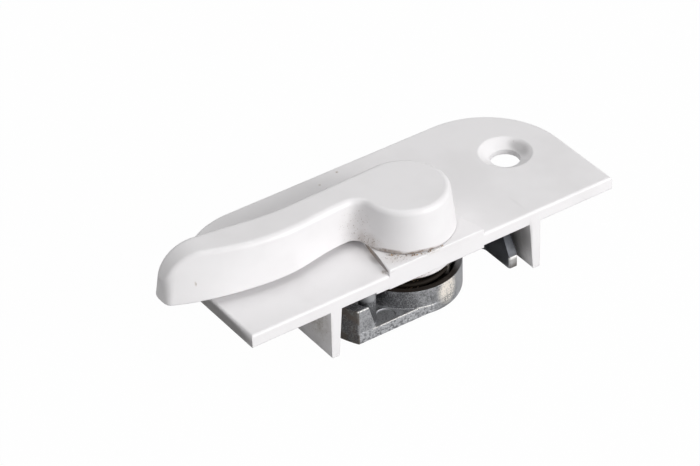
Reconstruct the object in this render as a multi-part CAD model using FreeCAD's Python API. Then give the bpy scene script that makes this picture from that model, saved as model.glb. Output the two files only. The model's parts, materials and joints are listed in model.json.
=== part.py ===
import FreeCAD, Part
import math
import os

# Sliding window lock: a face plate with a pivot, a hand lever above it and a crescent cam below it.
# Millimetres, +Z up. The origin is midway between the two fixing holes, on the plate's seating face.
# The lever is at rest along -X, with the cam turned in behind the plate's straight near edge.

Vector = FreeCAD.Vector
UP = Vector(0, 0, 1)

# Face plate
plate_length = 70.0
plate_width = 29.2
plate_thickness = 2.2
plate_far_corner_radius = 14.6
plate_edge_round = 0.45
fixing_spacing = 51.0
fixing_from_near_edge = 16.1
fixing_hole_radius = 2.5
countersink_radius = 4.5
countersink_depth = 1.3
countersink_rim_round = 0.4
pivot_from_near_edge = 8.8

# Plinth and pivot boss, cast in one with the plate
plinth_near_half_width = 9.2
plinth_seat_radius = 7.6
plinth_height = 0.95
plinth_edge_round = 0.2
pad_depth = 0.5
boss_radius = 7.7
boss_depth = 2.2

# Locating legs under the plate, either side of the cam
leg_clearance_beside_rim = 0.9
leg_root_thickness = 2.1
leg_toe_thickness = 1.4
leg_depth = 17.6
leg_height = 9.0
leg_toe_round = 0.25

# Lever: hub, neck and arm
lever_gap = 0.1
lever_height = 7.35
lever_top_round = 1.0
hub_radius = 8.3
hub_draft = 0.9
neck_radius = 2.0
neck_offset = 1.2
neck_draft = 0.25
arm_bulge_x = 20.5
arm_bulge_offset = -0.25
arm_bulge_draft = 1.1
arm_sweep_x = 31.5
arm_sweep_offset = 0.6
arm_sweep_draft = 2.1
tip_near_x = 41.2
tip_near_offset = 3.8
tip_near_draft_x = 2.6
tip_near_draft = 2.0
tip_end_x = 42.0
tip_end_offset = 5.7
tip_end_draft_x = 1.3
tip_end_draft = 1.1
tip_far_x = 39.6
tip_far_offset = 9.3
tip_far_draft_x = 1.0
tip_far_draft = -0.5
tip_fall_run = 8.0
tip_fall_drop = 6.5
tip_fall_beyond = 0.4
far_sweep_x = 33.5
far_sweep_offset = 9.65
far_straight_x = 17.0
far_lean_deg = 1.75

# Spindle, cast in one with the lever
journal_radius = 4.6
journal_clearance = 0.05
spindle_square = 6.0
spindle_square_clearance = 0.05
spindle_seat_gap = 0.05
spindle_end_gap = 0.1

# Crescent cam
cam_clearance_under_boss = 0.4
cam_bottom_depth = 8.8
cam_floor_thickness = 1.9
rim_radius = 17.4
rim_height = 4.5
rim_heel_foot_thickness = 2.9
rim_heel_top_thickness = 1.75
rim_nose_foot_thickness = 1.7
rim_nose_top_thickness = 1.35
chord_from_near_edge = 0.2
mouth_offset = 0.8
mouth_corner_radius = 1.6
nose_reach = 6.9
nose_toe_height = 2.0
nose_ramp_length = 2.9
nose_toe_round = 0.4
cup_radius = 9.2
cup_wall = 1.1
cup_height = 3.2
cam_hub_radius = 5.4
cam_foot_round = 0.7
stop_peg_radius = 1.4
stop_peg_x = 11.9
stop_peg_from_chord = 2.2
stop_peg_plate_gap = 0.7
ejector_mark_radius = 1.6
ejector_mark_depth = 0.15
ejector_mark_x = 8.7
ejector_mark_from_chord = 1.8

# Friction spring in the cup
spring_wire = 0.8
spring_mean_radius = 6.9
spring_turns = 2.5
spring_end_gap = 0.1

# Screw and washer that hold the cam on the spindle
screw_radius = 2.0
screw_hole_clearance = 0.05
screw_grip = 3.4
screw_head_radius = 3.6
screw_head_height = 1.7
screw_slot_width = 0.9
screw_slot_depth = 0.8
washer_radius = 4.2
washer_thickness = 0.8
recess_clearance = 0.2

# Levels and places that follow from the sizes above
near_edge_y = -fixing_from_near_edge
far_edge_y = near_edge_y + plate_width
pivot_y = near_edge_y + pivot_from_near_edge
plinth_top_z = plate_thickness + plinth_height
lever_base_z = plinth_top_z + lever_gap
lever_top_z = lever_base_z + lever_height
boss_bottom_z = -boss_depth
cam_top_z = boss_bottom_z - cam_clearance_under_boss
cam_bottom_z = -cam_bottom_depth
cam_floor_z = cam_bottom_z + cam_floor_thickness
rim_top_z = cam_floor_z + rim_height
cup_top_z = cam_floor_z + cup_height
washer_top_z = cam_bottom_z + screw_head_height + washer_thickness
chord_y = near_edge_y + chord_from_near_edge
leg_inner_x = rim_radius + leg_clearance_beside_rim
PIVOT = Vector(0, pivot_y, 0)


def at_pivot(x, y, z=0.0):
    """A point given from the pivot axis."""
    return Vector(x, pivot_y + y, z)


def cylinder(radius, z_low, z_high, centre=PIVOT):
    """An upright cylinder between two levels."""
    return Part.makeCylinder(radius, z_high - z_low, Vector(centre.x, centre.y, z_low), UP)


def block(x_low, x_high, y_low, y_high, z_low, z_high):
    """A box given by its limits."""
    return Part.makeBox(x_high - x_low, y_high - y_low, z_high - z_low, Vector(x_low, y_low, z_low))


def prism(points, direction):
    """A closed polygon drawn out along a vector."""
    return Part.Face(Part.makePolygon(points + points[:1])).extrude(direction)


def flat_edges(shape, level):
    """The edges of a shape that lie wholly at one level."""
    edges = []
    for edge in shape.Edges:
        if max(abs(edge.BoundBox.ZMin - level), abs(edge.BoundBox.ZMax - level)) < 1e-4:
            edges.append(edge)
    return edges


def plate_blank():
    """The plate with two square near corners and two round far ones, its top edge eased."""
    half = plate_length / 2
    radius = plate_far_corner_radius
    bend = radius * math.sqrt(0.5)
    right_side = Vector(half, far_edge_y - radius, 0)
    right_mid = Vector(half - radius + bend, far_edge_y - radius + bend, 0)
    right_far = Vector(half - radius, far_edge_y, 0)
    left_side = Vector(-right_side.x, right_side.y, 0)
    left_mid = Vector(-right_mid.x, right_mid.y, 0)
    left_far = Vector(-right_far.x, right_far.y, 0)
    near_left = Vector(-half, near_edge_y, 0)
    near_right = Vector(half, near_edge_y, 0)
    outline = Part.Wire([
        Part.makeLine(near_left, near_right),
        Part.makeLine(near_right, right_side),
        Part.Arc(right_side, right_mid, right_far).toShape(),
        Part.makeLine(right_far, left_far),
        Part.Arc(left_far, left_mid, left_side).toShape(),
        Part.makeLine(left_side, near_left),
    ])
    blank = Part.Face(outline).extrude(Vector(0, 0, plate_thickness))
    return blank.makeFillet(plate_edge_round, flat_edges(blank, plate_thickness))


def plinth():
    """The raised seat of the hub, which flares out to the near edge, with its pad below the plate."""
    corner = Vector(plinth_near_half_width, -pivot_from_near_edge, 0)
    half_angle = math.asin(plinth_seat_radius / corner.Length)
    tangent_angle = math.atan2(corner.y, corner.x) + math.pi / 2 - half_angle
    touch_x = plinth_seat_radius * math.cos(tangent_angle)
    touch_y = plinth_seat_radius * math.sin(tangent_angle)
    low = -pad_depth
    right_corner = at_pivot(corner.x, corner.y, low)
    left_corner = at_pivot(-corner.x, corner.y, low)
    right_touch = at_pivot(touch_x, touch_y, low)
    left_touch = at_pivot(-touch_x, touch_y, low)
    outline = Part.Wire([
        Part.makeLine(left_corner, right_corner),
        Part.makeLine(right_corner, right_touch),
        Part.Arc(right_touch, at_pivot(0, plinth_seat_radius, low), left_touch).toShape(),
        Part.makeLine(left_touch, left_corner),
    ])
    solid = Part.Face(outline).extrude(Vector(0, 0, plinth_top_z - low))
    return solid.makeFillet(plinth_edge_round, flat_edges(solid, plinth_top_z))


def leg(side):
    """One locating leg: a fin, square outside and tapered inside, that ends flush with the near edge."""
    outer_x = leg_inner_x + leg_root_thickness
    toe_x = outer_x - leg_toe_thickness
    section = [
        Vector(side * leg_inner_x, near_edge_y, 0),
        Vector(side * outer_x, near_edge_y, 0),
        Vector(side * outer_x, near_edge_y, -leg_height),
        Vector(side * toe_x, near_edge_y, -leg_height),
    ]
    fin = prism(section, Vector(0, leg_depth, 0))
    toe_edges = [e for e in flat_edges(fin, -leg_height) if e.Length > leg_depth / 2]
    return fin.makeFillet(leg_toe_round, toe_edges)


def fixing_hole(x):
    """A countersunk screw hole, as a solid to cut away."""
    land_top = plate_thickness - countersink_depth
    through = cylinder(fixing_hole_radius, -plate_thickness, 2 * plate_thickness, Vector(x, 0, 0))
    foot = Vector(x, 0, land_top)
    sink = Part.makeCone(fixing_hole_radius, countersink_radius, countersink_depth, foot, UP)
    return through.fuse(sink)


def countersink_rims(shape):
    """The top circles of the countersinks."""
    rims = []
    for edge in flat_edges(shape, plate_thickness):
        if isinstance(edge.Curve, Part.Circle) and abs(edge.Curve.Radius - countersink_radius) < 1e-4:
            rims.append(edge)
    return rims


def face_plate():
    """The one-piece casting: plate, plinth, boss, legs, pivot bore and fixing holes."""
    plate = plate_blank()
    for x in (-fixing_spacing / 2, fixing_spacing / 2):
        plate = plate.cut(fixing_hole(x))
    plate = plate.makeFillet(countersink_rim_round, countersink_rims(plate))
    body = plate.fuse([plinth(), cylinder(boss_radius, boss_bottom_z, 0), leg(-1), leg(1)])
    bore = cylinder(journal_radius + journal_clearance, boss_bottom_z, plinth_top_z)
    return body.cut(bore).removeSplitter()


def heading(x, y):
    """A unit direction in the plane of the plate."""
    return Vector(x, y, 0).normalize()


def curve(points, start, end):
    """A smooth edge through points, with its headings at both ends."""
    spline = Part.BSplineCurve()
    spline.interpolate(points, InitialTangent=start, FinalTangent=end)
    return spline.toShape()


def lever_outline(share, level):
    """The lever's outline seen from above: share 0 at its foot, 1 at its top, where the walls lean in."""
    hub = hub_radius - share * hub_draft
    neck = neck_radius + share * neck_draft
    neck_y = neck_offset + share * neck_draft
    neck_centre = Vector(-math.sqrt((hub + neck) ** 2 - (neck_y - neck) ** 2), neck_y - neck, 0)
    touch = neck_centre * (hub / (hub + neck))
    neck_angle = (math.atan2(-neck_centre.y, -neck_centre.x) + math.pi / 2) / 2
    neck_mid = neck_centre + Vector(math.cos(neck_angle), math.sin(neck_angle), 0) * neck
    lean = math.radians(far_lean_deg)
    hub_far = Vector(-math.sin(lean), math.cos(lean), 0) * hub
    far_start_y = hub_far.y - (far_straight_x + hub_far.x) * math.tan(lean)
    hub_start = at_pivot(hub_far.x, hub_far.y, level)
    hub_front = at_pivot(0, -hub, level)
    neck_start = at_pivot(touch.x, touch.y, level)
    neck_bend = at_pivot(neck_mid.x, neck_mid.y, level)
    neck_end = at_pivot(neck_centre.x, neck_y, level)
    bulge = at_pivot(-arm_bulge_x, arm_bulge_offset + share * arm_bulge_draft, level)
    sweep = at_pivot(-arm_sweep_x, arm_sweep_offset + share * arm_sweep_draft, level)
    tip_near_y = tip_near_offset + share * tip_near_draft
    tip_end_y = tip_end_offset + share * tip_end_draft
    tip_far_y = tip_far_offset + share * tip_far_draft
    tip_near = at_pivot(share * tip_near_draft_x - tip_near_x, tip_near_y, level)
    tip_end = at_pivot(share * tip_end_draft_x - tip_end_x, tip_end_y, level)
    tip_far = at_pivot(share * tip_far_draft_x - tip_far_x, tip_far_y, level)
    far_sweep = at_pivot(-far_sweep_x, far_sweep_offset - share * hub_draft, level)
    far_start = at_pivot(-far_straight_x, far_start_y, level)
    near_heading = heading(-0.9, 0.45)
    far_heading = heading(1, 0.25)
    return Part.Wire([
        Part.Arc(hub_start, hub_front, neck_start).toShape(),
        Part.Arc(neck_start, neck_bend, neck_end).toShape(),
        curve([neck_end, bulge, sweep, tip_near], heading(-1, 0), near_heading),
        curve([tip_near, tip_end, tip_far], near_heading, far_heading),
        curve([tip_far, far_sweep, far_start], far_heading, heading(1, math.tan(lean))),
        Part.makeLine(far_start, hub_start),
    ])


def lever_profile():
    """The lever seen from its side, drawn across its width: a flat top that falls in an arc at the tip."""
    side_y = -2 * tip_end_x
    end_x = -tip_end_x - tip_fall_beyond
    fall_x = end_x + tip_fall_run
    half_turn = math.atan2(tip_fall_drop, tip_fall_run)
    radius = tip_fall_run / math.sin(2 * half_turn)
    bend_x = fall_x - radius * math.sin(half_turn)
    bend_z = lever_top_z - radius * (1 - math.cos(half_turn))
    hub_foot = Vector(2 * hub_radius, side_y, lever_base_z)
    hub_top = Vector(2 * hub_radius, side_y, lever_top_z)
    fall_start = Vector(fall_x, side_y, lever_top_z)
    fall_bend = Vector(bend_x, side_y, bend_z)
    fall_end = Vector(end_x, side_y, lever_top_z - tip_fall_drop)
    tip_foot = Vector(end_x, side_y, lever_base_z)
    outline = Part.Wire([
        Part.makeLine(hub_foot, hub_top),
        Part.makeLine(hub_top, fall_start),
        Part.Arc(fall_start, fall_bend, fall_end).toShape(),
        Part.makeLine(fall_end, tip_foot),
        Part.makeLine(tip_foot, hub_foot),
    ])
    return Part.Face(outline).extrude(Vector(0, -2 * side_y, 0))


def crown_edges(shape):
    """The edges round the lever's flat top and its fall at the tip, without the line between the two."""
    crown = []
    for face in shape.Faces:
        surface = face.Surface
        flat = isinstance(surface, Part.Plane) and face.BoundBox.ZMin > lever_top_z - lever_top_round
        fall = isinstance(surface, Part.Cylinder) and abs(surface.Axis.y) > 0.5
        if flat or fall:
            crown.extend(face.Edges)
    return [e for e in crown if sum(e.isSame(other) for other in crown) == 1]


def spindle():
    """The round journal and square end below the hub, with the cam screw's hole."""
    shoulder_z = cam_top_z + spindle_seat_gap
    end_z = washer_top_z + spindle_end_gap
    half = spindle_square / 2
    journal = cylinder(journal_radius, shoulder_z, lever_base_z)
    square = block(-half, half, pivot_y - half, pivot_y + half, end_z, lever_base_z)
    hole = cylinder(screw_radius + screw_hole_clearance, end_z, washer_top_z + screw_grip + spindle_end_gap)
    return journal.fuse(square).cut(hole)


def lever():
    """The hand lever with its spindle, one casting."""
    walls = Part.makeLoft([lever_outline(0, lever_base_z), lever_outline(1, lever_top_z)], True, True)
    blank = walls.common(lever_profile())
    return blank.makeFillet(lever_top_round, crown_edges(blank)).fuse(spindle()).removeSplitter()


def circle_wire(radius, x, level):
    """A circle about a point beside the pivot axis."""
    return Part.Wire([Part.makeCircle(radius, at_pivot(x, 0, level), UP)])


def cam_rim():
    """The crescent's rim: round outside, eccentric and drafted inside to draw the keeper in."""
    foot_radius = rim_radius - (rim_heel_foot_thickness + rim_nose_foot_thickness) / 2
    foot_shift = (rim_heel_foot_thickness - rim_nose_foot_thickness) / 2
    top_radius = rim_radius - (rim_heel_top_thickness + rim_nose_top_thickness) / 2
    top_shift = (rim_heel_top_thickness - rim_nose_top_thickness) / 2
    foot = circle_wire(foot_radius, foot_shift, cam_floor_z)
    top = circle_wire(top_radius, top_shift, rim_top_z)
    hollow = Part.makeLoft([foot, top], True, True)
    rim = cylinder(rim_radius, cam_floor_z, rim_top_z).cut(hollow)
    mouth = block(0, 2 * rim_radius, pivot_y - 2 * rim_radius, pivot_y, cam_bottom_z, rim_top_z)
    return rim.cut(mouth)


def cam_floor():
    """The web under the rim and the cup, open at the mouth for the keeper, with an ejector pin's mark."""
    disc = cylinder(rim_radius, cam_bottom_z, cam_floor_z)
    mouth_far_y = pivot_y + mouth_offset
    rim_inner_x = rim_radius - rim_nose_foot_thickness
    mouth = block(0, rim_inner_x, pivot_y - 2 * rim_radius, mouth_far_y, cam_bottom_z, cam_floor_z)
    inner_corners = []
    for edge in mouth.Edges:
        upright = edge.BoundBox.ZLength > cam_floor_thickness / 2
        if upright and edge.CenterOfMass.x > cup_radius and edge.CenterOfMass.y > pivot_y:
            inner_corners.append(edge)
    mouth = mouth.makeFillet(mouth_corner_radius, inner_corners)
    reach = 2 * rim_radius
    beyond = block(rim_inner_x, reach, pivot_y - reach, pivot_y, cam_bottom_z, cam_floor_z)
    mark_place = Vector(-ejector_mark_x, chord_y + ejector_mark_from_chord, 0)
    mark = cylinder(ejector_mark_radius, cam_floor_z - ejector_mark_depth, cam_floor_z, mark_place)
    return disc.cut([mouth, beyond, mark])


def cam_nose():
    """The leading end of the rim: a straight tapered finger with a low toe and a steep ramp behind it."""
    foot_x = rim_radius - rim_nose_foot_thickness
    top_x = rim_radius - rim_nose_top_thickness
    tip_y = pivot_y - nose_reach
    section = [
        Vector(foot_x, tip_y, cam_bottom_z),
        Vector(rim_radius, tip_y, cam_bottom_z),
        Vector(rim_radius, tip_y, rim_top_z),
        Vector(top_x, tip_y, rim_top_z),
        Vector(foot_x, tip_y, cam_floor_z),
    ]
    bar = prism(section, Vector(0, nose_reach, 0))
    toe_z = cam_bottom_z + nose_toe_height
    profile = [
        Vector(0, pivot_y, cam_bottom_z),
        Vector(0, tip_y, cam_bottom_z),
        Vector(0, tip_y, toe_z),
        Vector(0, tip_y + nose_ramp_length, rim_top_z),
        Vector(0, pivot_y, rim_top_z),
    ]
    side = prism(profile, Vector(2 * rim_radius, 0, 0))
    nose = bar.common(side)
    uprights = []
    for edge in nose.Edges:
        if edge.BoundBox.YMax < tip_y + 1e-4 and edge.BoundBox.ZLength > nose_toe_height / 2:
            uprights.append(edge)
    return nose.makeFillet(nose_toe_round, uprights)


def cam_cup():
    """The round cup that holds the friction spring, with the cam's square-holed hub in its middle."""
    half = spindle_square / 2 + spindle_square_clearance
    cup = cylinder(cup_radius, cam_bottom_z, cup_top_z)
    cup = cup.makeFillet(cam_foot_round, flat_edges(cup, cam_bottom_z))
    groove = cylinder(cup_radius - cup_wall, cam_floor_z, cup_top_z)
    hub = cylinder(cam_hub_radius, cam_floor_z, cam_top_z)
    square = block(-half, half, pivot_y - half, pivot_y + half, cam_bottom_z, cam_top_z)
    recess = cylinder(washer_radius + recess_clearance, cam_bottom_z, washer_top_z)
    return cup.cut(groove).fuse(hub), square.fuse(recess)


def crescent_cam():
    """The raw zinc crescent, one casting: web, rim, nose, cup and stop peg, cut straight at the chord."""
    cup, bores = cam_cup()
    peg_place = Vector(-stop_peg_x, chord_y + stop_peg_from_chord, 0)
    peg = cylinder(stop_peg_radius, cam_floor_z, -stop_peg_plate_gap, peg_place)
    beyond_chord = block(-2 * rim_radius, 0, pivot_y - 2 * rim_radius, chord_y, cam_bottom_z, 0)
    crescent = cam_floor().fuse([cam_rim(), cam_nose(), peg]).cut(beyond_chord)
    return crescent.fuse(cup).cut(bores).removeSplitter()


def friction_spring():
    """The open coil between the plate's boss and the floor of the cup."""
    height = boss_bottom_z - cam_floor_z - spring_wire - 2 * spring_end_gap
    start_z = cam_floor_z + spring_end_gap + spring_wire / 2
    path = Part.makeHelix(height / spring_turns, height, spring_mean_radius)
    section = Part.makeCircle(spring_wire / 2, Vector(spring_mean_radius, 0, 0), Vector(0, 1, 0))
    coil = Part.Wire(path).makePipeShell([Part.Wire([section])], True, True)
    coil.translate(at_pivot(0, 0, start_z))
    return coil


def cam_washer():
    """The flat washer under the screw's head."""
    bottom_z = washer_top_z - washer_thickness
    disc = cylinder(washer_radius, bottom_z, washer_top_z)
    return disc.cut(cylinder(screw_radius + screw_hole_clearance, bottom_z, washer_top_z))


def cam_screw():
    """The domed screw that holds the cam up on the spindle, with a cross recess in its head."""
    head_top_z = washer_top_z - washer_thickness
    head_bottom_z = head_top_z - screw_head_height
    half = screw_slot_width / 2
    dome = screw_head_height / 2
    head = cylinder(screw_head_radius, head_bottom_z, head_top_z)
    head = head.makeFillet(dome, flat_edges(head, head_bottom_z))
    shank = cylinder(screw_radius, head_top_z, washer_top_z + screw_grip)
    slot_top_z = head_bottom_z + screw_slot_depth
    reach = screw_radius
    across = block(-reach, reach, pivot_y - half, pivot_y + half, head_bottom_z, slot_top_z)
    along = block(-half, half, pivot_y - reach, pivot_y + reach, head_bottom_z, slot_top_z)
    return head.fuse(shank).cut([across, along]).removeSplitter()


PARTS = {
    "face_plate": face_plate,
    "lever": lever,
    "crescent_cam": crescent_cam,
    "friction_spring": friction_spring,
    "cam_washer": cam_washer,
    "cam_screw": cam_screw,
}

os.makedirs("parts", exist_ok=True)
for name, make in PARTS.items():
    shape = make()
    shape.exportStep(f"parts/{name}.step")
    print(name, shape.isValid(), len(shape.Solids), round(shape.Volume, 1))
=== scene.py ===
"""Looks of the sliding window lock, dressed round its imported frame: finishes, dirt, light and camera."""

import json
import logging
import math
import random
from dataclasses import dataclass
from enum import Enum

import bmesh
import bpy
from mathutils import Euler, Matrix, Vector


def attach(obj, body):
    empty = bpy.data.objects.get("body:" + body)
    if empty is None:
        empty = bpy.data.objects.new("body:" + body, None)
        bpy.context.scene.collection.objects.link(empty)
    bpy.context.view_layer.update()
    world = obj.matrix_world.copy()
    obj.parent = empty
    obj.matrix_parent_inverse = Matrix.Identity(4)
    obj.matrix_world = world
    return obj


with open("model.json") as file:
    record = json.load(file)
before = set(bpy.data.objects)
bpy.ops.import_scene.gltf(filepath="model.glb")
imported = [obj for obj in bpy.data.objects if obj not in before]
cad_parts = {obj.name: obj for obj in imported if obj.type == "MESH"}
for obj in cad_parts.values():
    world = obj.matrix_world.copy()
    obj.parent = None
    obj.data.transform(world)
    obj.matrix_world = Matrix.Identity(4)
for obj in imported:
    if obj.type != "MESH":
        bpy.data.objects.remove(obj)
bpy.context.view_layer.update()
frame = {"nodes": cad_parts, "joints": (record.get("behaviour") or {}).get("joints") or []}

Triple = tuple[float, float, float]
Span = tuple[float, float]

LOG = logging.getLogger("window_lock")
MM = 0.001
PIVOT_Y = frame["joints"][0]["pos_m"][1] / MM
FIXED_BODY = "base"
WHITE: Triple = (1.0, 1.0, 1.0)


class Axis(Enum):
    """The axes of the lock's own frame."""

    X = 0
    Y = 1
    Z = 2


class Stain(Enum):
    """The colours that dirt gives the white coat, and the greys of painted shade."""

    DRY = (0.36, 0.265, 0.19)
    # Partly brown dirt, partly painted shade along the foot of the lever's hub.
    CRUST_AND_SHADE = (0.2, 0.135, 0.095)
    # Partly grime, partly painted shade at the foot of the plinth's step.
    GRIME_AND_SHADE = (0.17, 0.145, 0.13)
    MOSS = (0.3, 0.265, 0.2)
    # Grey painted shade, not dirt.
    PAINTED_SHADE = (0.24, 0.23, 0.23)


class Amount:
    """A number that varies over a surface: a shader socket that takes Python's arithmetic."""

    def __init__(self, wiring: "Wiring", socket: bpy.types.NodeSocket) -> None:
        """Wrap a socket.

        Args:
            wiring: The wiring that holds the socket.
            socket: The output that carries the number.
        """
        self.wiring = wiring
        self.socket = socket

    def __add__(self, other: "Number") -> "Amount":
        """Return self + other."""
        return self.wiring.maths("ADD", self, other)

    def __radd__(self, other: "Number") -> "Amount":
        """Return other + self."""
        return self.wiring.maths("ADD", other, self)

    def __sub__(self, other: "Number") -> "Amount":
        """Return self - other."""
        return self.wiring.maths("SUBTRACT", self, other)

    def __rsub__(self, other: "Number") -> "Amount":
        """Return other - self."""
        return self.wiring.maths("SUBTRACT", other, self)

    def __mul__(self, other: "Number") -> "Amount":
        """Return self * other."""
        return self.wiring.maths("MULTIPLY", self, other)

    def __rmul__(self, other: "Number") -> "Amount":
        """Return other * self."""
        return self.wiring.maths("MULTIPLY", other, self)


Number = Amount | float
Feed = Amount | bpy.types.NodeSocket | float | Triple


def from_edge(edge: float, span: Span) -> Span:
    """Place a span that is measured from an edge.

    Args:
        edge: Where the edge is.
        span: The span's two ends, from the edge.

    Returns:
        The span in place.
    """
    return edge + span[0], edge + span[1]


@dataclass(frozen=True)
class Patch:
    """A soft-edged ellipsoid of space, in millimetres.

    Attributes:
        centre: Its middle.
        reach: How far it goes along X, Y and Z.
        core: The share of the reach over which it is full.
    """

    centre: Triple
    reach: Triple
    core: float


@dataclass(frozen=True)
class Mottle:
    """Smooth random variation.

    Attributes:
        per_mm: Its cells to the millimetre.
        detail: Its finer layers.
        offset: A shift in millimetres, so that two uses differ.
    """

    per_mm: float
    detail: float
    offset: Triple = (0.0, 0.0, 0.0)


class Wiring:
    """A node tree, written as expressions."""

    def __init__(self, tree: bpy.types.NodeTree) -> None:
        """Start from an empty tree.

        Args:
            tree: The tree, which is cleared.
        """
        self.tree = tree
        self.tree.nodes.clear()

    def node(
        self,
        kind: str,
        settings: dict[str, object] | None = None,
        sockets: dict[int | str, Feed] | None = None,
    ) -> bpy.types.Node:
        """Add a node.

        Args:
            kind: The node's type.
            settings: Its own settings, which are set first.
            sockets: The values or links of its inputs, by index or name.

        Returns:
            The new node.
        """
        made = self.tree.nodes.new(kind)
        for name, value in (settings or {}).items():
            setattr(made, name, value)
        for key, value in (sockets or {}).items():
            target = made.inputs[key]
            if isinstance(value, Amount):
                self.tree.links.new(value.socket, target)
            elif isinstance(value, bpy.types.NodeSocket):
                self.tree.links.new(value, target)
            elif isinstance(value, tuple) and target.type == "RGBA":
                target.default_value = (*value, 1.0)
            else:
                target.default_value = value
        return made

    def maths(self, operation: str, first: Number, second: Number) -> Amount:
        """Combine two numbers.

        Args:
            operation: The Math node's operation.
            first: The first number.
            second: The second number.

        Returns:
            The result.
        """
        made = self.node("ShaderNodeMath", {"operation": operation}, {0: first, 1: second})
        return Amount(self, made.outputs[0])


class Recipe(Wiring):
    """The node tree of one finish, with its places in millimetres."""

    noise_roughness = 0.55
    dot_core = 0.5
    edge_samples = 6

    def __init__(self, name: str) -> None:
        """Start an empty material.

        Args:
            name: The material's name.
        """
        self.material = bpy.data.materials.new(name)
        self.material.use_nodes = True
        super().__init__(self.material.node_tree)
        where = self.node("ShaderNodeTexCoord").outputs["Object"]
        spread = self.node("ShaderNodeVectorMath", {"operation": "SCALE"}, {0: where, "Scale": 1 / MM})
        self.place = spread.outputs["Vector"]
        self.parts = self.node("ShaderNodeSeparateXYZ", {}, {0: self.place}).outputs

    def along(self, axis: Axis) -> Amount:
        """Return the position along one axis, in millimetres."""
        return Amount(self, self.parts[axis.value])

    def smooth(self, value: Number, span: Span) -> Amount:
        """Ease a number from 0 to 1.

        Args:
            value: The number.
            span: Where the result is 0 and where it is 1. The second may be the smaller.

        Returns:
            The eased number.
        """
        settings = {"interpolation_type": "SMOOTHSTEP", "clamp": True}
        sockets = {"Value": value, "From Min": span[0], "From Max": span[1]}
        return Amount(self, self.node("ShaderNodeMapRange", settings, sockets).outputs[0])

    def band(self, value: Number, span: Span, soft: float) -> Amount:
        """Give 1 between two limits and 0 outside them.

        Args:
            value: The number.
            span: The lower and the upper limit.
            soft: The width over which each limit fades.

        Returns:
            The mask.
        """
        low, high = span
        return self.smooth(value, (low - soft, low)) * self.smooth(value, (high + soft, high))

    def vectors(self, operation: str, first: Feed, second: Feed) -> bpy.types.NodeSocket:
        """Combine two vectors.

        Args:
            operation: The Vector Math node's operation.
            first: The first vector.
            second: The second vector.

        Returns:
            The result.
        """
        made = self.node("ShaderNodeVectorMath", {"operation": operation}, {0: first, 1: second})
        return made.outputs[0]

    def near(self, patch: Patch) -> Amount:
        """Give 1 in the core of a patch, fading to 0 at its reach.

        Args:
            patch: The patch of space.

        Returns:
            The mask.
        """
        shared = self.vectors("DIVIDE", self.vectors("SUBTRACT", self.place, patch.centre), patch.reach)
        length = self.node("ShaderNodeVectorMath", {"operation": "LENGTH"}, {0: shared})
        return self.smooth(Amount(self, length.outputs["Value"]), (1.0, patch.core))

    def noise(self, mottle: Mottle) -> Amount:
        """Give smooth random variation.

        Args:
            mottle: Its fineness and shift.

        Returns:
            A number of about 0.3 to 0.7.
        """
        sockets = {
            "Vector": self.vectors("ADD", self.place, mottle.offset),
            "Scale": mottle.per_mm,
            "Detail": mottle.detail,
            "Roughness": self.noise_roughness,
        }
        return Amount(self, self.node("ShaderNodeTexNoise", {}, sockets).outputs[0])

    def dots(self, per_mm: float, size: float) -> Amount:
        """Give small round dots.

        Args:
            per_mm: Their cells to the millimetre.
            size: Their radius as a share of a cell.

        Returns:
            The mask of the dots.
        """
        sockets = {"Vector": self.place, "Scale": per_mm, "Randomness": 1.0}
        made = self.node("ShaderNodeTexVoronoi", {"feature": "F1"}, sockets)
        return self.smooth(Amount(self, made.outputs["Distance"]), (size, size * self.dot_core))

    def tint(self, share: Number, under: Feed, over: Feed) -> bpy.types.NodeSocket:
        """Lay one colour over another.

        Args:
            share: How much of the upper colour shows.
            under: The lower colour.
            over: The upper colour.

        Returns:
            The mixed colour.
        """
        factor, lower, upper, mixed = 0, 6, 7, 2
        sockets = {factor: share, lower: under, upper: over}
        return self.node("ShaderNodeMix", {"data_type": "RGBA"}, sockets).outputs[mixed]

    def relief(self, height_mm: Amount, edge_mm: float) -> bpy.types.NodeSocket:
        """Turn a height into a normal, over edges that are softened a little.

        Args:
            height_mm: The height in millimetres.
            edge_mm: The radius of the softened edges in millimetres.

        Returns:
            The normal.
        """
        edge = self.node("ShaderNodeBevel", {"samples": self.edge_samples}, {"Radius": edge_mm * MM})
        sockets = {"Strength": 1.0, "Distance": MM, "Height": height_mm, "Normal": edge.outputs[0]}
        return self.node("ShaderNodeBump", {}, sockets).outputs[0]

    def finish(self, **sockets: Feed) -> bpy.types.Material:
        """Close the tree with its surface.

        Args:
            sockets: The Principled shader's inputs, with _ for a space.

        Returns:
            The finished material.
        """
        named = {name.replace("_", " "): value for name, value in sockets.items()}
        surface = self.node("ShaderNodeBsdfPrincipled", {}, named)
        self.node("ShaderNodeOutputMaterial", {}, {"Surface": surface.outputs[0]})
        return self.material


@dataclass(frozen=True)
class Smudge:
    """A patch of dirt, of painted shade, or of both, on a coated surface.

    Attributes:
        patch: Where it lies.
        film: How strongly it stains or shades the coat.
        grit: How thick its specks are, from 0 to 1. A film without grit is even.
        stain: The colour of its film.
    """

    patch: Patch
    film: float
    grit: float
    stain: Stain = Stain.DRY


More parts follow.
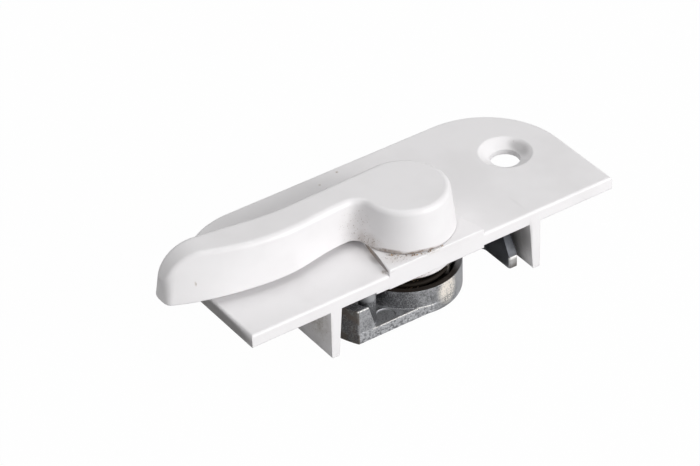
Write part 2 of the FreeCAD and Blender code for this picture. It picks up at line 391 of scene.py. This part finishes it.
@dataclass(frozen=True)
class WhiteCoat:
    """White powder coat over a die casting: a soft orange peel, faint greying, brown dirt and grey painted
    shade.
    """

    name: str
    smudges: tuple[Smudge, ...]
    clean: Triple = (0.86, 0.846, 0.854)
    greyed: Triple = (0.82, 0.805, 0.812)
    grit: Triple = (0.24, 0.17, 0.12)
    clouds: Mottle = Mottle(0.09, 3.0)
    cloud_span: Span = (0.42, 0.7)
    film_mottle: Mottle = Mottle(0.9, 4.0, (7.0, 0.0, 3.0))
    film_span: Span = (0.3, 0.7)
    film_least: float = 0.35
    speck_mottle: Mottle = Mottle(4.6, 3.0)
    speck_span: Span = (0.66, 0.74)
    speck_edge: Span = (0.02, 0.25)
    speck_gain: float = 0.16
    speck_share: float = 0.7
    speck_mm: float = 0.05
    strays_per_mm: float = 0.16
    stray_size: float = 0.03
    stray_mottle: Mottle = Mottle(0.4, 2.0)
    stray_span: Span = (0.5, 0.62)
    stray_share: float = 0.6
    peel: Mottle = Mottle(1.3, 2.0)
    peel_mm: float = 0.006
    edge_mm: float = 0.22
    roughness: float = 0.4
    film_roughness: float = 0.3
    speck_roughness: float = 0.35
    ior: float = 1.5

    def make(self) -> bpy.types.Material:
        """Return the coat as a material."""
        recipe = Recipe(self.name)
        greying = recipe.smooth(recipe.noise(self.clouds), self.cloud_span)
        colour = recipe.tint(greying, self.clean, self.greyed)
        patchy = recipe.smooth(recipe.noise(self.film_mottle), self.film_span)
        uneven = self.film_least + (1 - self.film_least) * patchy
        fine = recipe.noise(self.speck_mottle)
        film: Number = 0.0
        specks: Number = 0.0
        for smudge in self.smudges:
            here = recipe.near(smudge.patch)
            share = here * smudge.film * (uneven if smudge.grit else 1.0)
            # Each smudge lays its stain: dirt, painted shade, or both.
            colour = recipe.tint(share, colour, smudge.stain.value)
            film = recipe.maths("MAXIMUM", film, share)
            lift = recipe.smooth(fine + here * (self.speck_gain * smudge.grit), self.speck_span)
            specks = recipe.maths("MAXIMUM", specks, lift * recipe.smooth(here, self.speck_edge))
        colour = recipe.tint(specks * self.speck_share, colour, self.grit)
        strays = recipe.dots(self.strays_per_mm, self.stray_size)
        strays = strays * recipe.smooth(recipe.noise(self.stray_mottle), self.stray_span)
        colour = recipe.tint(strays * self.stray_share, colour, Stain.DRY.value)
        height = recipe.noise(self.peel) * self.peel_mm + specks * self.speck_mm
        normal = recipe.relief(height, self.edge_mm)
        rough = self.roughness + self.film_roughness * film + self.speck_roughness * specks
        return recipe.finish(Base_Color=colour, Roughness=rough, Normal=normal, IOR=self.ior)


@dataclass(frozen=True)
class RawZinc:
    """An uncoated zinc casting: grainy grey skin, bright worn lips, torn cut face and old grease, with
    painted shade on the nose, on the peg's lower part and towards -X, and painted light towards +X and on
    the nose's toe.

    Radii and chord_y are measured from the pivot and heights from the seating face, in millimetres.
    """

    name: str
    cup_radius: float
    cup_bore: float
    rim_radius: float
    floor_z: float
    rim_top_z: float
    cup_top_z: float
    chord_y: float
    lip_x: Span
    dark: Triple = (0.11, 0.112, 0.118)
    # Painted shade: the near-black of the cam's nose.
    painted_nose_shade: Triple = (0.06, 0.063, 0.07)
    light: Triple = (0.46, 0.465, 0.48)
    worn: Triple = (0.86, 0.85, 0.83)
    rubbed: Triple = (0.93, 0.88, 0.81)
    tarnish: Triple = (0.12, 0.1, 0.08)
    grease: Triple = (0.022, 0.016, 0.012)
    crumb: Triple = (0.4, 0.28, 0.17)
    # Painted shade: the peg's lower part is darkened to the tone of the shaded floor below it.
    peg_shade_patch: Patch = Patch((-11.9, -13.7, -5.2), (1.9, 1.9, 2.8), 0.75)
    peg_shade_share: float = 0.75
    stud_patch: Patch = Patch((-11.9, -13.7, -1.4), (1.9, 1.9, 1.7), 0.8)
    stud_share: float = 0.8
    grease_share: float = 0.97
    grain_mm: float = 0.03
    tear_mm: float = 0.9
    crumb_mm: float = 0.2
    edge_mm: float = 0.15
    roughness: float = 0.42
    cloud_roughness: float = 0.25
    torn_roughness: float = 0.15
    grease_roughness: float = 0.1
    metallic: float = 0.92
    grease_cover: float = 0.9
    toe_cover: float = 0.36
    ior: float = 1.2

    def make(self) -> bpy.types.Material:
        """Return the casting's skin as a material."""
        recipe = Recipe(self.name)
        skin = CastingSkin(self, recipe)
        torn = skin.torn()
        toe = skin.toe()
        greasy = skin.greasy()
        crumbs = skin.crumbs(greasy)
        layers = (
            (skin.tarnished(), self.tarnish),
            (skin.rubbed(), self.rubbed),
            (skin.worn(), self.worn),
            # Painted shade on the nose.
            (skin.painted_nose_shade(toe), self.painted_nose_shade),
            # Painted light on the nose's toe, in the colour of the worn edges.
            (skin.painted_toe_highlight(toe), self.worn),
            # Painted shade on the peg's lower part.
            (recipe.near(self.peg_shade_patch) * self.peg_shade_share, self.dark),
            (recipe.near(self.stud_patch) * self.stud_share, self.light),
            (greasy * self.grease_share, self.grease),
            (crumbs, self.crumb),
        )
        colour = recipe.tint(skin.tone(torn), self.dark, self.light)
        for share, over in layers:
            colour = recipe.tint(share, colour, over)
        height = skin.grain * self.grain_mm + skin.tear * torn * self.tear_mm + crumbs * self.crumb_mm
        normal = recipe.relief(height, self.edge_mm)
        rough = self.roughness + self.cloud_roughness * skin.clouds
        rough = rough + self.torn_roughness * torn + self.grease_roughness * greasy
        metal = self.metallic - self.grease_cover * greasy - self.toe_cover * toe
        return recipe.finish(Base_Color=colour, Roughness=rough, Metallic=metal, Normal=normal, IOR=self.ior)


class CastingSkin:
    """The regions of the raw casting as masks, and the variation of its skin.

    A span whose name ends in the name of one of the casting's sizes is measured from that size.
    """

    grain_mottle = Mottle(4.5, 3.0)
    cloud_mottle = Mottle(0.5, 3.0, (3.0, 1.0, 0.0))
    tear_mottle = Mottle(1.5, 6.0, (0.0, 0.0, 9.0))
    front_chord_y: Span = (0.3, 0.05)
    below_floor_z: Span = (0.15, -0.1)
    flange_lip_x: Span = (1.0, -0.5)
    beyond_cup_radius: Span = (0.05, 0.3)
    on_floor_z: Span = (-0.25, 0.05)
    on_floor_soft: float = 0.05
    within_rim_radius: Span = (-0.1, -0.4)
    skin_span: Span = (0.35, 0.85)
    skin_grain: float = 0.75
    skin_clouds: float = 0.45
    floor_gain: float = 0.9
    chord_gain: float = 0.34
    torn_loss: float = 0.75
    torn_least: float = 0.25
    torn_gain: float = 0.95
    tear_span: Span = (0.4, 0.55)
    # Painted light: the skin gets lighter towards +X.
    lit_x: Span = (1.0, 8.0)
    lit_gain: float = 1.1
    # Painted shade: the skin gets darker towards -X, off the cut face and the floor.
    painted_shade_x: Span = (0.0, -6.0)
    painted_shade_loss: float = 0.25
    outside_rim_radius: Span = (-0.25, -0.1)
    tarnish_span: Span = (0.3, 0.6)
    tarnish_share: float = 0.8
    rub_patch = Patch((1.9, -16.2, -5.2), (2.6, 2.0, 3.4), 0.4)
    rub_span: Span = (0.52, 0.8)
    rub_clouds: float = 0.5
    lip_floor_z: Span = (-0.12, 0.02)
    crest_rim_top_z: Span = (-0.16, 0.02)
    lip_soft: float = 0.1
    lip_end_soft: float = 0.3
    wear_span: Span = (0.36, 0.5)
    nose_patch = Patch((16.3, -10.5, -5.0), (3.6, 7.0, 4.8), 0.75)
    toe_chord_y: Span = (2.1, 1.8)
    toe_z: Span = (-6.6, -6.85)
    # Painted highlight along the toe's upper edge, over a lighter face.
    toe_edge_z: Span = (-7.3, -7.0)
    toe_least: float = 0.35
    # Painted shade: less of it at the foot of the nose's ramp.
    ramp_z: Span = (-4.0, -6.6)
    ramp_loss: float = 0.08
    inside_cup_bore: Span = (0.12, -0.05)
    above_floor_z: Span = (-0.2, 0.0)
    ledge_cup_top_z: Span = (-0.1, -0.02)
    ledge_cup_radius: Span = (-0.02, -0.2)
    ledge_x: Span = (9.0, 4.0)
    crumb_mottle = Mottle(2.6, 4.0, (5.0, 5.0, 5.0))
    crumb_span: Span = (0.5, 0.58)
    crumb_patch = Patch((-2.6, -12.4, -4.6), (2.4, 2.4, 2.4), 0.4)

    def __init__(self, zinc: RawZinc, recipe: Recipe) -> None:
        """Work out what several regions share.

        Args:
            zinc: The casting's sizes.
            recipe: The recipe that the masks go into.
        """
        self.zinc = zinc
        self.recipe = recipe
        self.x = recipe.along(Axis.X)
        self.y = recipe.along(Axis.Y) - PIVOT_Y
        self.z = recipe.along(Axis.Z)
        self.radius = recipe.maths("SQRT", self.x * self.x + self.y * self.y, 0.0)
        self.grain = recipe.noise(self.grain_mottle)
        self.clouds = recipe.noise(self.cloud_mottle)
        self.tear = recipe.noise(self.tear_mottle)
        self.front = self.beside(self.y, zinc.chord_y, self.front_chord_y)
        self.nose = recipe.near(self.nose_patch)

    def beside(self, value: Amount, edge: float, span: Span) -> Amount:
        """Ease from 0 to 1 beside an edge.

        Args:
            value: The position.
            edge: Where the edge is.
            span: Where the result is 0 and where it is 1, from the edge.

        Returns:
            The mask.
        """
        return self.recipe.smooth(value, from_edge(edge, span))

    def torn(self) -> Amount:
        """Return the mask of the torn face below the lip."""
        below = self.beside(self.z, self.zinc.floor_z, self.below_floor_z)
        flange = self.beside(self.x, self.zinc.lip_x[1], self.flange_lip_x)
        return self.front * below * flange

    def on_floor(self) -> Amount:
        """Return the mask of the web's upper face inside the rim."""
        level = self.recipe.band(self.z, from_edge(self.zinc.floor_z, self.on_floor_z), self.on_floor_soft)
        return level * self.beside(self.radius, self.zinc.rim_radius, self.within_rim_radius)

    def tone(self, torn: Amount) -> Amount:
        """Tell light skin from dark, with painted light towards +X and painted shade towards -X.

        Args:
            torn: The mask of the torn face.

        Returns:
            The share of the light tone.
        """
        recipe = self.recipe
        on_floor = self.on_floor()
        chord = self.front * self.beside(self.radius, self.zinc.cup_radius, self.beyond_cup_radius)
        tone = recipe.smooth(self.grain * self.skin_grain + self.clouds * self.skin_clouds, self.skin_span)
        tone = tone * (1 + self.floor_gain * on_floor) + chord * (1 - torn) * self.chord_gain
        ragged = self.torn_least + self.torn_gain * recipe.smooth(self.tear, self.tear_span)
        tone = tone * (1 - self.torn_loss * torn) + torn * ragged
        # Painted shade towards -X, then painted light towards +X.
        dull = recipe.smooth(self.x, self.painted_shade_x) * (1 - self.front) * (1 - on_floor)
        return tone + recipe.smooth(self.x, self.lit_x) * self.lit_gain - dull * self.painted_shade_loss

    def tarnished(self) -> Amount:
        """Return the share of tarnish on the outside of the rim."""
        outside = self.beside(self.radius, self.zinc.rim_radius, self.outside_rim_radius)
        return outside * self.recipe.smooth(self.clouds, self.tarnish_span) * self.tarnish_share

    def rubbed(self) -> Amount:
        """Return the mask of the rubbed place on the cup's wall."""
        ragged = self.recipe.smooth(self.grain + self.clouds * self.rub_clouds, self.rub_span)
        return self.recipe.near(self.rub_patch) * ragged

    def worn(self) -> Amount:
        """Return the mask of the bright edges along the cut face."""
        recipe = self.recipe
        lip = recipe.band(self.z, from_edge(self.zinc.floor_z, self.lip_floor_z), self.lip_soft)
        lip = lip * recipe.band(self.x, self.zinc.lip_x, self.lip_end_soft)
        crest = recipe.band(self.z, from_edge(self.zinc.rim_top_z, self.crest_rim_top_z), self.lip_soft)
        wear = (lip + crest) * self.front * recipe.smooth(self.grain, self.wear_span)
        return recipe.maths("MINIMUM", wear, 1.0)

    def toe(self) -> Amount:
        """Return the mask of the nose's blunt end."""
        end = self.beside(self.y, self.zinc.chord_y, self.toe_chord_y)
        return self.nose * end * self.recipe.smooth(self.z, self.toe_z)

    def painted_nose_shade(self, toe: Amount) -> Amount:
        """Tell how much painted shade the nose gets.

        Args:
            toe: The mask of its blunt end, which gets no painted shade.

        Returns:
            The share of the painted shade, a little less at the foot of the ramp.
        """
        return self.nose * (1 - toe) * (1 - self.ramp_loss * self.recipe.smooth(self.z, self.ramp_z))

    def painted_toe_highlight(self, toe: Amount) -> Amount:
        """Tell how much painted light the nose's blunt end gets.

        Args:
            toe: The mask of the end.

        Returns:
            The share of the light colour: a lighter face, and a painted highlight that is full along the
                upper edge.
        """
        edge = self.recipe.smooth(self.z, self.toe_edge_z)
        return toe * (self.toe_least + (1 - self.toe_least) * edge)

    def greasy(self) -> Amount:
        """Return the mask of the grease in the cup and on its ledge."""
        recipe = self.recipe
        inside = self.beside(self.radius, self.zinc.cup_bore, self.inside_cup_bore)
        inside = inside * self.beside(self.z, self.zinc.floor_z, self.above_floor_z)
        ledge = self.beside(self.z, self.zinc.cup_top_z, self.ledge_cup_top_z)
        ledge = ledge * self.beside(self.radius, self.zinc.cup_radius, self.ledge_cup_radius)
        return recipe.maths("MAXIMUM", inside, ledge * recipe.smooth(self.x, self.ledge_x))

    def crumbs(self, greasy: Amount) -> Amount:
        """Strew crumbs in the grease.

        Args:
            greasy: The mask of the grease.

        Returns:
            The mask of the crumbs.
        """
        specks = self.recipe.smooth(self.recipe.noise(self.crumb_mottle), self.crumb_span)
        return greasy * specks * self.recipe.near(self.crumb_patch)


@dataclass(frozen=True)
class BrightSteel:
    """Plated steel with fine marks and a film of old grease."""

    name: str
    bright: Triple = (0.6, 0.6, 0.61)
    dull: Triple = (0.36, 0.35, 0.33)
    marks: Mottle = Mottle(6.0, 3.0)
    marks_mm: float = 0.008
    edge_mm: float = 0.08
    film: Mottle = Mottle(0.8, 3.0)
    film_span: Span = (0.4, 0.62)
    film_share: float = 0.75
    film_roughness: float = 0.2
    roughness: float = 0.32

    def make(self) -> bpy.types.Material:
        """Return the steel as a material."""
        recipe = Recipe(self.name)
        film = recipe.smooth(recipe.noise(self.film), self.film_span)
        colour = recipe.tint(film * self.film_share, self.bright, self.dull)
        normal = recipe.relief(recipe.noise(self.marks) * self.marks_mm, self.edge_mm)
        rough = self.roughness + self.film_roughness * film
        return recipe.finish(Base_Color=colour, Roughness=rough, Metallic=1.0, Normal=normal)


@dataclass(frozen=True)
class GreasedWire:
    """Spring wire that is black with grease, and wiped bright in one place."""

    name: str
    wiped: Patch
    bright: Triple = (0.6, 0.57, 0.52)
    grease: Triple = (0.016, 0.012, 0.009)
    wiping: Mottle = Mottle(1.2, 3.0)
    wiping_span: Span = (0.36, 0.5)
    marks: Mottle = Mottle(6.0, 3.0)
    marks_mm: float = 0.008
    edge_mm: float = 0.08
    roughness: float = 0.6
    wiped_gloss: float = 0.3
    ior: float = 1.2

    def make(self) -> bpy.types.Material:
        """Return the wire as a material."""
        recipe = Recipe(self.name)
        clean = recipe.near(self.wiped) * recipe.smooth(recipe.noise(self.wiping), self.wiping_span)
        colour = recipe.tint(clean, self.grease, self.bright)
        normal = recipe.relief(recipe.noise(self.marks) * self.marks_mm, self.edge_mm)
        rough = self.roughness - self.wiped_gloss * clean
        return recipe.finish(Base_Color=colour, Roughness=rough, Metallic=clean, Normal=normal, IOR=self.ior)


@dataclass(frozen=True)
class Grit:
    """Loose brown dirt."""

    name: str
    pale: Triple = (0.56, 0.42, 0.29)
    deep: Triple = (0.2, 0.13, 0.08)
    mottle: Mottle = Mottle(3.0, 3.0)
    mottle_span: Span = (0.35, 0.65)
    mottle_mm: float = 0.05
    mottle_gloss: float = 0.1
    edge_mm: float = 0.02
    roughness: float = 0.9

    def make(self) -> bpy.types.Material:
        """Return the dirt as a material."""
        recipe = Recipe(self.name)
        mottle = recipe.noise(self.mottle)
        colour = recipe.tint(recipe.smooth(mottle, self.mottle_span), self.pale, self.deep)
        normal = recipe.relief(mottle * self.mottle_mm, self.edge_mm)
        rough = self.roughness - self.mottle_gloss * mottle
        return recipe.finish(Base_Color=colour, Roughness=rough, Normal=normal)


def dress(node: str, material: bpy.types.Material) -> None:
    """Give a CAD node its finish.

    Args:
        node: The node's name.
        material: The finish.
    """
    mesh = frame["nodes"][node].data
    mesh.materials.clear()
    mesh.materials.append(material)
    LOG.info("dressed %s in %s", node, material.name)


def add_object(name: str, shape: bmesh.types.BMesh, material: bpy.types.Material) -> bpy.types.Object:
    """Turn a finished bmesh into an object of the scene.

    Args:
        name: The object's name.
        shape: Its mesh, which is freed.
        material: Its finish.

    Returns:
        The new object.
    """
    mesh = bpy.data.meshes.new(name)
    shape.to_mesh(mesh)
    shape.free()
    mesh.materials.append(material)
    made = bpy.data.objects.new(name, mesh)
    bpy.context.scene.collection.objects.link(made)
    return made


def piece(name: str, shape: bmesh.types.BMesh, material: bpy.types.Material) -> bpy.types.Object:
    """Turn a finished bmesh into a piece that stays with the plate.

    Args:
        name: The piece's name.
        shape: Its mesh, which is freed.
        material: Its finish.

    Returns:
        The new piece.
    """
    bmesh.ops.recalc_face_normals(shape, faces=shape.faces[:])
    made = add_object(name, shape, material)
    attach(made, FIXED_BODY)
    LOG.info("built %s on %s", name, FIXED_BODY)
    return made


@dataclass
class FacePlate:
    """The white face plate with its plinth, and the grit that has gathered round the hub.

    Sizes are in millimetres. Each smudge is named for where it lies; some of them are painted shade.
    """

    near_edge_y: float = -16.1
    plinth_top_z: float = 3.15
    hub_radius: float = 8.3
    plinth_corner: Smudge = Smudge(Patch((-5.4, -13.6, 3.2), (4.6, 2.6, 0.8), 0.3), 0.22, 0.6)
    plinth_front: Smudge = Smudge(Patch((-0.8, -15.9, 3.2), (2.8, 0.9, 0.8), 0.2), 0.2, 0.6)
    # Partly grime, partly painted shade: an even dark band at the foot of the plinth's step.
    plinth_step: Smudge = Smudge(Patch((-8.6, -11.4, 2.66), (2.6, 4.9, 0.5), 0.85), 0.8, 0.0, Stain.GRIME_AND_SHADE)
    step_dirt: Smudge = Smudge(Patch((-7.8, -9.6, 2.66), (1.6, 2.6, 0.55), 0.6), 0.7, 0.5)
    step_foot: Smudge = Smudge(Patch((-9.3, -14.9, 2.2), (0.7, 0.9, 0.5), 0.2), 0.4, 0.8)
    right_speck: Smudge = Smudge(Patch((0.2, 11.8, 2.2), (0.35, 0.35, 0.5), 0.3), 0.7, 0.6)
    left_speck: Smudge = Smudge(Patch((-4.1, 10.5, 2.2), (0.3, 0.3, 0.5), 0.3), 0.7, 0.6)
    left_leg: Smudge = Smudge(Patch((-20.4, -12.0, -3.5), (0.9, 6.0, 5.5), 0.1), 0.55, 0.5, Stain.MOSS)
    # Painted shade in these three: grey on the countersink's right wall, the right leg's inner side and the
    # plate's left end.
    countersink: Smudge = Smudge(Patch((28.7, 0.3, 1.5), (1.9, 3.4, 1.0), 0.3), 0.45, 0.0, Stain.PAINTED_SHADE)
    right_leg: Smudge = Smudge(Patch((18.4, -12.5, -3.5), (0.9, 6.0, 6.5), 0.3), 0.85, 0.0, Stain.PAINTED_SHADE)
    left_end: Smudge = Smudge(Patch((-35.2, -4.0, 0.7), (0.6, 18.0, 1.9), 0.6), 0.9, 0.0, Stain.PAINTED_SHADE)
    boss: Smudge = Smudge(Patch((-3.0, -14.2, -1.6), (4.0, 2.5, 1.6), 0.2), 0.4, 0.9)
    pad_from_x: float = -11.7
    pad_to_x: float = -9.1
    pad_depth: float = 0.35
    pad_width: float = 2.0
    pad_edge: float = 0.05
    crumb_seed: int = 11
    crumb_count: int = 26
    crumb_radius: float = 0.13
    crumb_arc_deg: Span = (216.0, 280.0)
    crumb_gap: Span = (0.12, 0.45)
    crumb_edge_gap: float = 0.35
    crumb_scale: Span = (0.5, 1.25)
    crumb_lift: float = 0.35
    crumb_length: Span = (0.7, 1.6)
    crumb_height: Span = (0.5, 0.9)

    def coat(self) -> WhiteCoat:
        """Return the plate's finish: dirty round the hub and on the left leg, with painted shade on the
        right leg, at the left end and in the countersink, and partly painted shade at the plinth's step.
        """
        return WhiteCoat(
            "plate_white",
            (
                self.plinth_corner,
                self.plinth_front,
                self.plinth_step,
                self.step_dirt,
                self.step_foot,
                self.right_speck,
                self.left_speck,
                self.left_leg,
                self.countersink,
                self.right_leg,
                self.left_end,
                self.boss,
            ),
        )

    def crumbs(self, material: bpy.types.Material) -> None:
        """Strew grit on the plinth along the foot of the hub.

        Args:
            material: The grit's finish.
        """
        draw = random.Random(self.crumb_seed)
        shape = bmesh.new()
        for _ in range(self.crumb_count):
            angle = math.radians(draw.uniform(*self.crumb_arc_deg))
            out = self.hub_radius + draw.uniform(*self.crumb_gap)
            y = max(PIVOT_Y + out * math.sin(angle), self.near_edge_y + self.crumb_edge_gap)
            size = self.crumb_radius * draw.uniform(*self.crumb_scale)
            middle = Vector((out * math.cos(angle), y, self.plinth_top_z + size * self.crumb_lift)) * MM
            turn = Euler([draw.uniform(0, math.pi) for _ in range(3)]).to_matrix().to_4x4()
            length = draw.uniform(*self.crumb_length)
            height = draw.uniform(*self.crumb_height)
            matrix = Matrix.Translation(middle) @ turn @ Matrix.Diagonal((length, 1.0, height, 1.0))
            bmesh.ops.create_icosphere(shape, subdivisions=1, radius=size * MM, matrix=matrix)
        piece("hub_grit", shape, material)

    def pad(self, material: bpy.types.Material) -> None:
        """Carry the shallow pad under the near edge on towards the lever's tip.

        Args:
            material: The plate's finish.
        """
        size = Vector((self.pad_to_x - self.pad_from_x, self.pad_width, self.pad_depth))
        corner = Vector((self.pad_from_x, self.near_edge_y, -self.pad_depth))
        matrix = Matrix.Translation((corner + size / 2) * MM) @ Matrix.Diagonal((*(size * MM), 1.0))
        shape = bmesh.new()
        bmesh.ops.create_cube(shape, size=1.0, matrix=matrix)
        bmesh.ops.bevel(
            shape,
            geom=shape.edges[:],
            offset=self.pad_edge * MM,
            affect="EDGES",
            segments=2,
            profile=0.5,
            material=-1,
        )
        piece("near_pad", shape, material)

    def build(self) -> None:
        """Dress the plate, carry on its pad and strew its grit."""
        white = self.coat().make()
        dress("face_plate", white)
        self.pad(white)
        self.crumbs(Grit("loose_grit").make())


@dataclass
class HandLever:
    """The white hand lever, stained in its neck, stained and darkened with painted shade along the foot of
    its hub, with a mark at its tip.
    """

    neck: Smudge = Smudge(Patch((-9.2, -7.0, 6.0), (3.4, 3.4, 5.4), 0.1), 0.1, 0.35)
    neck_foot: Smudge = Smudge(Patch((-8.0, -9.0, 3.8), (2.6, 4.0, 2.4), 0.2), 0.36, 0.65)
    # Brown dirt and painted shade together in these two: a dark band along the foot of the hub, where the
    # gap under it is shaded.
    hub_left: Smudge = Smudge(Patch((-6.4, -12.2, 3.1), (3.9, 4.4, 1.0), 0.5), 1.0, 0.5, Stain.CRUST_AND_SHADE)
    hub_front: Smudge = Smudge(Patch((-2.4, -15.0, 3.1), (4.6, 1.9, 0.75), 0.5), 1.0, 0.5, Stain.CRUST_AND_SHADE)
    tip: Smudge = Smudge(Patch((-37.2, -4.1, 6.0), (0.22, 0.5, 0.6), 0.2), 0.45, 0.3)

    def coat(self) -> WhiteCoat:
        """Return the lever's finish."""
        return WhiteCoat("lever_white", (self.neck, self.neck_foot, self.hub_left, self.hub_front, self.tip))

    def build(self) -> None:
        """Dress the lever."""
        dress("lever", self.coat().make())


@dataclass
class CrescentCam:
    """The raw crescent casting under the plate, with its sizes in millimetres."""

    cup_radius: float = 9.2
    cup_wall: float = 1.1
    rim_radius: float = 17.4
    floor_z: float = -6.9
    rim_top_z: float = -2.4
    cup_top_z: float = -3.7
    chord_y: float = -8.6
    lip_x: Span = (-12.3, -1.2)

    def skin(self) -> RawZinc:
        """Return the casting's finish."""
        return RawZinc(
            name="raw_zinc_skin",
            cup_radius=self.cup_radius,
            cup_bore=self.cup_radius - self.cup_wall,
            rim_radius=self.rim_radius,
            floor_z=self.floor_z,
            rim_top_z=self.rim_top_z,
            cup_top_z=self.cup_top_z,
            chord_y=self.chord_y,
            lip_x=self.lip_x,
        )

    def build(self) -> None:
        """Dress the cam."""
        dress("crescent_cam", self.skin().make())


@dataclass
class PivotFittings:
    """The friction spring in the cup, and the screw and washer under the cam."""

    wiped: Patch = Patch((6.0, -10.8, -4.2), (3.6, 4.2, 3.0), 0.6)

    def build(self) -> None:
        """Dress the spring, the washer and the screw."""
        dress("friction_spring", GreasedWire("spring_wire", self.wiped).make())
        plating = BrightSteel("plated_steel").make()
        dress("cam_washer", plating)
        dress("cam_screw", plating)


@dataclass(frozen=True)
class Lamp:
    """A soft square lamp that faces the lock.

    Attributes:
        name: Its name.
        spot: Where it hangs, in metres.
        size: Its side, in metres.
        watts: Its power.
    """

    name: str
    spot: Triple
    size: float
    watts: float

    def hang(self) -> None:
        """Put the lamp into the scene."""
        light = bpy.data.lights.new(self.name, "AREA")
        light.shape = "SQUARE"
        light.size = self.size
        light.energy = self.watts
        made = bpy.data.objects.new(self.name, light)
        made.location = self.spot
        made.rotation_euler = (-Vector(self.spot)).to_track_quat("-Z", "Y").to_euler()
        bpy.context.scene.collection.objects.link(made)


@dataclass
class Studio:
    """A pale floor, soft light and the camera at the photograph's angle, in metres."""

    floor_z: float = -0.0091
    floor_radius: float = 3.0
    floor_sides: int = 64
    floor_colour: Triple = (0.7, 0.7, 0.7)
    floor_glow: float = 0.985
    ambient: float = 0.16
    lamps: tuple[Lamp, ...] = (
        Lamp("key_lamp", (0.36, -0.78, 0.36), 0.55, 7.25),
        Lamp("top_lamp", (0.1, 0.2, 0.9), 0.7, 3.1),
        Lamp("fill_lamp", (-0.75, -0.5, 0.55), 0.6, 1.05),
    )
    eye: Triple = (-0.257531, -0.374356, 0.330721)
    right: Triple = (0.81960962, -0.57244375, -0.02341424)
    up: Triple = (0.35444514, 0.47452913, 0.80572374)
    back: Triple = (-0.45012078, -0.66867799, 0.59182855)
    lens_mm: float = 180.0
    sensor_mm: float = 36.0
    clip_start: float = 0.01

    def floor(self) -> None:
        """Lay a round pale floor under the legs, white to the camera apart from the shadow."""
        shape = bmesh.new()
        level = Matrix.Translation((0, 0, self.floor_z))
        bmesh.ops.create_circle(
            shape,
            cap_ends=True,
            segments=self.floor_sides,
            radius=self.floor_radius,
            matrix=level,
        )
        material = bpy.data.materials.new("pale_floor")
        material.use_nodes = True
        wiring = Wiring(material.node_tree)
        plain = wiring.node("ShaderNodeBsdfDiffuse", {}, {"Color": self.floor_colour}).outputs[0]
        glow = wiring.node("ShaderNodeEmission", {}, {"Color": WHITE, "Strength": 1.0}).outputs[0]
        path = wiring.node("ShaderNodeLightPath")
        share = Amount(wiring, path.outputs["Is Camera Ray"]) * self.floor_glow
        mixed = wiring.node("ShaderNodeMixShader", {}, {0: share, 1: plain, 2: glow}).outputs[0]
        wiring.node("ShaderNodeOutputMaterial", {}, {"Surface": mixed})
        add_object("floor", shape, material)

    def world(self) -> None:
        """Light the scene evenly, with a white surround for the camera and for reflections."""
        world = bpy.data.worlds.new("studio")
        bpy.context.scene.world = world
        world.use_nodes = True
        wiring = Wiring(world.node_tree)
        path = wiring.node("ShaderNodeLightPath")
        seen = Amount(wiring, path.outputs["Is Camera Ray"])
        for ray in ("Is Glossy Ray", "Is Transmission Ray"):
            seen = wiring.maths("MAXIMUM", seen, Amount(wiring, path.outputs[ray]))
        strength = self.ambient + (1 - self.ambient) * seen
        surround = wiring.node("ShaderNodeBackground", {}, {"Color": WHITE, "Strength": strength})
        wiring.node("ShaderNodeOutputWorld", {}, {"Surface": surround.outputs[0]})

    def camera(self) -> None:
        """Set the camera at the photograph's place."""
        data = bpy.data.cameras.new("camera")
        data.lens = self.lens_mm
        data.sensor_width = self.sensor_mm
        data.sensor_fit = "HORIZONTAL"
        data.clip_start = self.clip_start
        made = bpy.data.objects.new("camera", data)
        turn = Matrix((self.right, self.up, self.back)).transposed().to_4x4()
        made.matrix_world = Matrix.Translation(self.eye) @ turn
        bpy.context.scene.collection.objects.link(made)
        bpy.context.scene.camera = made

    def build(self) -> None:
        """Set up the whole studio."""
        self.camera()
        self.floor()
        self.world()
        for lamp in self.lamps:
            lamp.hang()
        bpy.context.scene.view_settings.view_transform = "Standard"
        LOG.info("studio ready")


def main() -> None:
    """Build every sub-assembly in order."""
    logging.basicConfig(level=logging.INFO)
    Studio().build()
    FacePlate().build()
    HandLever().build()
    CrescentCam().build()
    PivotFittings().build()


if __name__ == "__main__":
    main()
